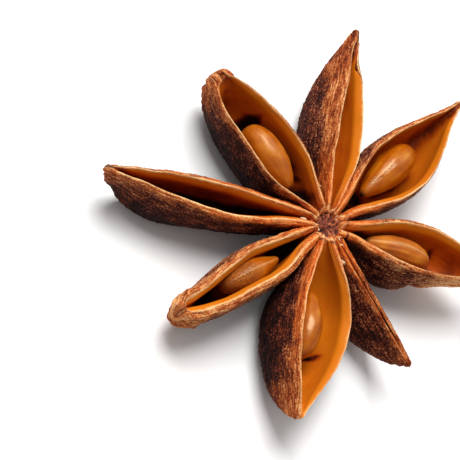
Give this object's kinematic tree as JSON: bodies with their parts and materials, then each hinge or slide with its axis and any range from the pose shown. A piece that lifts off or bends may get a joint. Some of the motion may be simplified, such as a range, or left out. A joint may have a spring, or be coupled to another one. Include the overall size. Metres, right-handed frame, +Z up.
{
  "type": "star anise pod",
  "caption": "Dried star-shaped spice pod: woody boat-shaped carpels grown round a short column, split open along their tops, some holding a glossy bean-shaped seed.",
  "frame": {"origin": "on the floor under the middle of the pod's bounding box, so the column's axis stands about 1.2 mm to +X and 0.7 mm to -Y of it", "axes": "+Z up, out of the split tops of the carpels; +Y along the longest extent, towards the beaked carpel; +X along the shorter horizontal extent, towards the shut carpel"},
  "size_m": [0.0304, 0.0364, 0.0067],
  "materials": {
    "husk": "dried woody husk: dark plum-brown wrinkled skin, tan split lips, satin orange-brown lining",
    "seed_coat": "smooth hard seed coat, glossy amber brown, as if varnished"
  },
  "bodies": {
    "root": {"pod": "husk", "seed_beaked": "seed_coat", "seed_wide": "seed_coat", "seed_broad": "seed_coat", "seed_blunt": "seed_coat", "seed_round": "seed_coat"}
  },
  "joints": []
}
